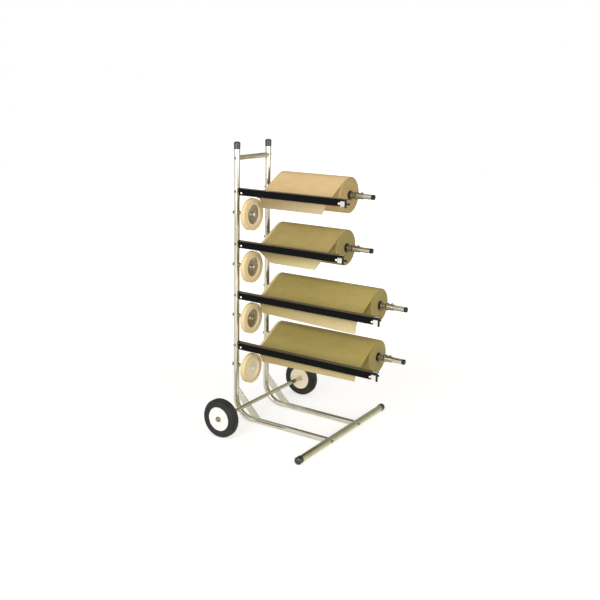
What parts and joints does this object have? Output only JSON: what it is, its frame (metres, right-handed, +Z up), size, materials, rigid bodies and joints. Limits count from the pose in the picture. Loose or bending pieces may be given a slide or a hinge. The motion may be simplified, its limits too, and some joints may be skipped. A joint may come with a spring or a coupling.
{
  "type": "masking paper dispenser stand",
  "caption": "Wheeled floor stand of bent tube that holds masking paper rolls on spindles, each with a serrated cutter bar and a roll of masking tape.",
  "frame": {"origin": "on the floor, under the middle of the bounding box", "axes": "+X forward, from the uprights along the paper rolls; +Y from the cutter bars to the paper rolls; +Z up"},
  "size_m": [0.6604, 0.644, 1.1065],
  "materials": {
    "bright_tube": "polished",
    "zinc_plate": "satin",
    "black_paint": "gloss",
    "blade_steel": "blued",
    "black_rubber": "matte",
    "tyre_rubber": "matte",
    "white_hub": "satin",
    "black_plastic": "satin",
    "masking_paper": "matte",
    "cardboard": "matte",
    "masking_tape": "matte",
    "hub_steel": "satin",
    "cream_paint": "satin"
  },
  "bodies": {
    "stand": {"side_frame_near": "bright_tube", "side_frame_far": "bright_tube", "handle_tube": "bright_tube", "front_cross_tube": "bright_tube", "gusset_straps": "bright_tube", "wheel_axle": "zinc_plate", "axle_push_caps": "zinc_plate", "upright_caps": "black_rubber", "front_tube_caps": "black_rubber", "spindle_1": "bright_tube", "paper_leaf_1": "masking_paper", "cutter_bar_1": "black_paint", "spindle_2": "bright_tube", "paper_leaf_2": "masking_paper", "cutter_bar_2": "black_paint", "spindle_3": "bright_tube", "paper_leaf_3": "masking_paper", "cutter_bar_3": "black_paint", "spindle_4": "bright_tube", "paper_leaf_4": "masking_paper", "cutter_bar_4": "black_paint", "spindle_caps": "black_plastic", "tension_springs": "zinc_plate", "cutter_blades": "blade_steel", "blade_rivets": "zinc_plate", "bar_end_clips": "zinc_plate", "bar_end_guards": "black_plastic", "frame_screws": "zinc_plate", "bar_screws": "zinc_plate", "tape_bolts": "zinc_plate", "tape_nuts": "zinc_plate"},
    "near_wheel": {"wheel_near_tyre": "tyre_rubber", "wheel_near_hub": "white_hub"},
    "far_wheel": {"wheel_far_tyre": "tyre_rubber", "wheel_far_hub": "white_hub"},
    "paper_1": {"paper_roll_1": "masking_paper", "paper_core_1": "cardboard", "core_plugs_1": "black_plastic"},
    "collar_1": {"spindle_collar_1": "zinc_plate"},
    "tape_1": {"tape_hub_1": "hub_steel", "tape_roll_1": "masking_tape"},
    "paper_2": {"paper_roll_2": "masking_paper", "paper_core_2": "cardboard", "core_plugs_2": "black_plastic"},
    "collar_2": {"spindle_collar_2": "zinc_plate"},
    "tape_2": {"tape_hub_2": "hub_steel", "tape_roll_2": "masking_tape"},
    "paper_3": {"paper_roll_3": "masking_paper", "paper_core_3": "cardboard", "core_plugs_3": "black_plastic"},
    "collar_3": {"spindle_collar_3": "zinc_plate"},
    "tape_3": {"tape_hub_3": "hub_steel", "tape_roll_3": "masking_tape"},
    "paper_4": {"paper_roll_4": "masking_paper", "paper_core_4": "cardboard", "core_plugs_4": "black_plastic"},
    "collar_4": {"spindle_collar_4": "zinc_plate"},
    "tape_4": {"tape_hub_4": "cream_paint", "tape_roll_4": "masking_tape"}
  },
  "joints": [
    {"name": "near_wheel_roll", "type": "hinge", "parent": "stand", "child": "near_wheel", "pos_m": [-0.24822, -0.279, 0.075], "axis": [0, 1, 0], "continuous": true},
    {"name": "far_wheel_roll", "type": "hinge", "parent": "stand", "child": "far_wheel", "pos_m": [-0.24822, 0.279, 0.075], "axis": [0, 1, 0], "continuous": true},
    {"name": "paper_1_unwind", "type": "hinge", "parent": "stand", "child": "paper_1", "pos_m": [-0.23685, 0.1016, 0.9161], "axis": [1, 0, 0], "continuous": true},
    {"name": "collar_1_slide", "type": "slide", "parent": "stand", "child": "collar_1", "axis": [1, 0, 0], "range_m": [0, 0.036]},
    {"name": "tape_1_unwind", "type": "hinge", "parent": "stand", "child": "tape_1", "pos_m": [-0.24855, -0.1016, 0.8364], "axis": [1, 0, 0], "continuous": true},
    {"name": "paper_2_unwind", "type": "hinge", "parent": "stand", "child": "paper_2", "pos_m": [-0.24485, 0.1016, 0.7129], "axis": [1, 0, 0], "continuous": true},
    {"name": "collar_2_slide", "type": "slide", "parent": "stand", "child": "collar_2", "axis": [1, 0, 0], "range_m": [0, 0.044]},
    {"name": "tape_2_unwind", "type": "hinge", "parent": "stand", "child": "tape_2", "pos_m": [-0.24855, -0.1016, 0.6332], "axis": [1, 0, 0], "continuous": true},
    {"name": "paper_3_unwind", "type": "hinge", "parent": "stand", "child": "paper_3", "pos_m": [-0.24485, 0.1016, 0.5097], "axis": [1, 0, 0], "continuous": true},
    {"name": "collar_3_slide", "type": "slide", "parent": "stand", "child": "collar_3", "axis": [1, 0, 0], "range_m": [0, 0.044]},
    {"name": "tape_3_unwind", "type": "hinge", "parent": "stand", "child": "tape_3", "pos_m": [-0.24855, -0.1016, 0.43], "axis": [1, 0, 0], "continuous": true},
    {"name": "paper_4_unwind", "type": "hinge", "parent": "stand", "child": "paper_4", "pos_m": [-0.24485, 0.1016, 0.3065], "axis": [1, 0, 0], "continuous": true},
    {"name": "collar_4_slide", "type": "slide", "parent": "stand", "child": "collar_4", "axis": [1, 0, 0], "range_m": [0, 0.044]},
    {"name": "tape_4_unwind", "type": "hinge", "parent": "stand", "child": "tape_4", "pos_m": [-0.24855, -0.1016, 0.2268], "axis": [1, 0, 0], "continuous": true}
  ]
}
